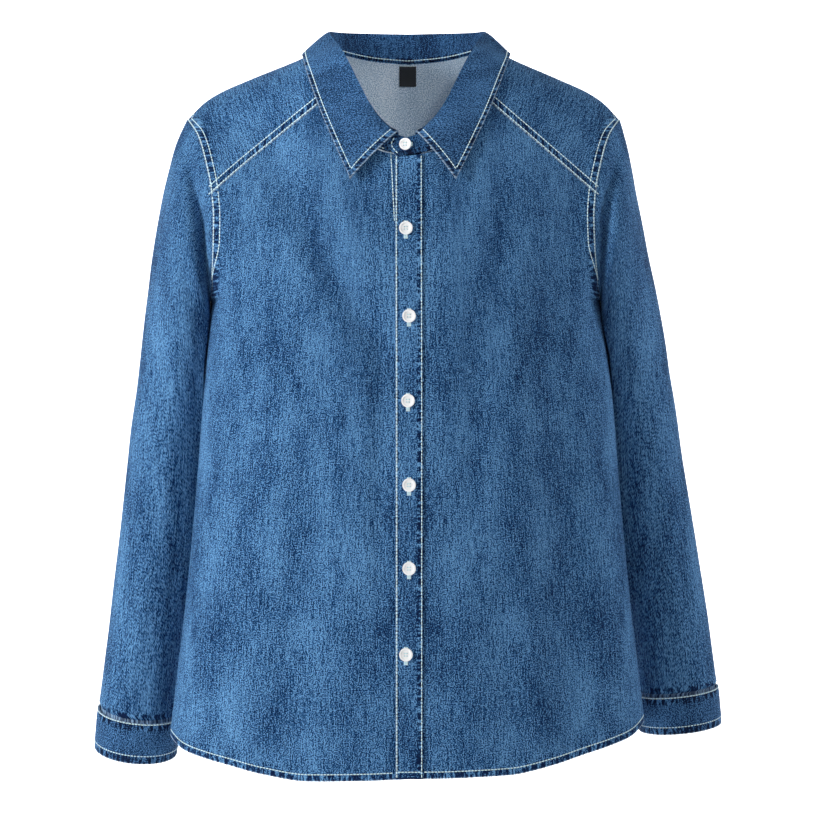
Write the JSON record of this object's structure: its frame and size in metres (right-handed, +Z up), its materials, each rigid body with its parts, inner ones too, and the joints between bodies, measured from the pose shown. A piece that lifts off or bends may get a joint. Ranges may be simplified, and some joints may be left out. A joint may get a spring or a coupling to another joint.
{
  "type": "denim shirt",
  "caption": "Long-sleeved denim shirt with a pointed collar, buttoned up and filled out as worn, hollow and open at neck, cuffs and hem.",
  "frame": {"origin": "between the shoulders at the height of the neck's side, where the wearer's shoulders hold the shirt", "axes": "+Z up, +Y towards the shirt's back, +X towards the wearer's left"},
  "size_m": [0.6382, 0.2384, 0.7572],
  "materials": {
    "denim": "washed blue twill, matt, with pale slubs down the warp",
    "collar_denim": "the same twill in two pressed layers",
    "label": "black satin tape, bare",
    "button": "white moulded resin, polished"
  },
  "bodies": {
    "root": {"front_right": "denim", "front_left": "denim", "placket": "denim", "yoke": "denim", "back": "denim", "sleeve_right": "denim", "sleeve_left": "denim", "cuff_right": "denim", "cuff_left": "denim", "collar_stand": "collar_denim", "collar_fall": "collar_denim", "neck_label": "label", "placket_button_1": "button", "placket_button_2": "button", "placket_button_3": "button", "placket_button_4": "button", "placket_button_5": "button", "placket_button_6": "button", "collar_button": "button", "cuff_button_right": "button", "cuff_button_left": "button"}
  },
  "joints": []
}
